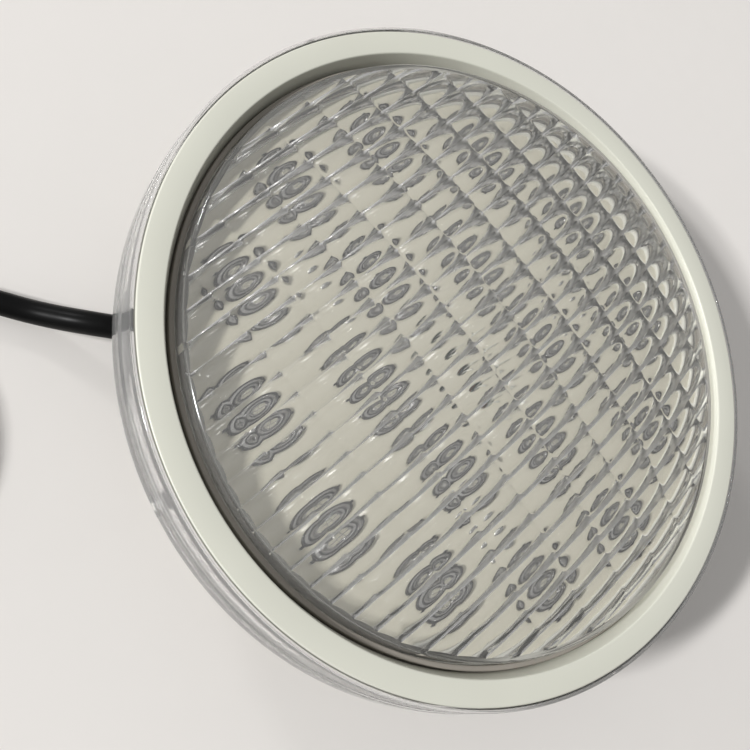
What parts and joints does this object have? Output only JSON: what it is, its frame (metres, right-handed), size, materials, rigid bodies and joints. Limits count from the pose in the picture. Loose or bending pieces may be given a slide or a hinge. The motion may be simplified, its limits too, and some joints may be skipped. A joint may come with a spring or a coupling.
{
  "type": "underwater pool light",
  "caption": "Round sealed pool lamp with a domed prismatic clear lens, cream face ring, clear rim skirt, rear driver cup, side cable gland and a coiled cable.",
  "frame": {"origin": "on the surface the lamp stands on, under the middle of its round body", "axes": "+Z along the lamp's axis, out of the lens; the cable leaves towards -X"},
  "size_m": [0.2937, 0.2026, 0.06],
  "materials": {
    "clear_shell": "clear moulded polycarbonate, polished, with a prismatic pattern on the lens",
    "cream_ring": "matte moulded plastic, cream",
    "seal_rubber": "matte black rubber",
    "white_inner": "satin white plastic",
    "light_board": "cream-white solder mask on an aluminium-backed board",
    "emitter": "clear-domed light source on a white base",
    "spreader": "plain aluminium disc",
    "housing": "satin off-white moulded plastic",
    "steel_screw": "stainless steel",
    "driver_laminate": "green circuit laminate",
    "component_black": "moulded black component body",
    "copper_winding": "enamelled copper winding",
    "gland_nylon": "moulded black nylon",
    "cable_jacket": "smooth black rubber jacket",
    "core_brown": "brown wire insulation",
    "core_blue": "blue wire insulation"
  },
  "bodies": {
    "root": {"board_ring": "white_inner", "board_screw_1": "steel_screw", "board_screw_2": "steel_screw", "board_screw_3": "steel_screw", "bridge_rectifier": "component_black", "cable": "cable_jacket", "cable_coil": "cable_jacket", "cable_tail": "cable_jacket", "cable_tie": "seal_rubber", "capacitor": "component_black", "choke": "copper_winding", "clear_rim": "clear_shell", "core_blue": "core_blue", "core_brown": "core_brown", "cup_gasket": "seal_rubber", "cup_screw_1": "steel_screw", "cup_screw_2": "steel_screw", "cup_screw_3": "steel_screw", "driver_board": "driver_laminate", "driver_cup": "housing", "face_ring": "cream_ring", "front_lens": "clear_shell", "gland_body": "gland_nylon", "gland_locknut": "gland_nylon", "gland_seal": "seal_rubber", "gland_washer": "seal_rubber", "heat_spreader": "spreader", "lead_in_blue": "core_blue", "lead_in_brown": "core_brown", "lead_out_1": "white_inner", "lead_out_2": "white_inner", "led_board": "light_board", "led_inner_01": "emitter", "led_inner_02": "emitter", "led_inner_03": "emitter", "led_inner_04": "emitter", "led_inner_05": "emitter", "led_inner_06": "emitter", "led_outer_01": "emitter", "led_outer_02": "emitter", "led_outer_03": "emitter", "led_outer_04": "emitter", "led_outer_05": "emitter", "led_outer_06": "emitter", "led_outer_07": "emitter", "led_outer_08": "emitter", "led_outer_09": "emitter", "led_outer_10": "emitter", "led_outer_11": "emitter", "led_outer_12": "emitter", "lens_gasket": "seal_rubber", "rear_pan": "housing", "rim_screw_1": "steel_screw", "rim_screw_2": "steel_screw", "rim_screw_3": "steel_screw", "rim_screw_4": "steel_screw", "terminal_block": "white_inner"},
    "gland_claw": {"gland_claw": "white_inner"},
    "gland_nut": {"gland_nut": "gland_nylon"}
  },
  "joints": [
    {"name": "gland_claw_slide", "type": "slide", "parent": "root", "child": "gland_claw", "axis": [-1, 0, 0], "range_m": [0, 0.0045]},
    {"name": "gland_nut_turn", "type": "hinge", "parent": "gland_claw", "child": "gland_nut", "pos_m": [-0.071, 0, 0.0113], "axis": [-1, 0, 0], "range_deg": [0, 1080]}
  ],
  "couplings": [
    {"joint": "gland_nut_turn", "follows": "gland_claw_slide", "rad_per_m": 4188.8}
  ]
}
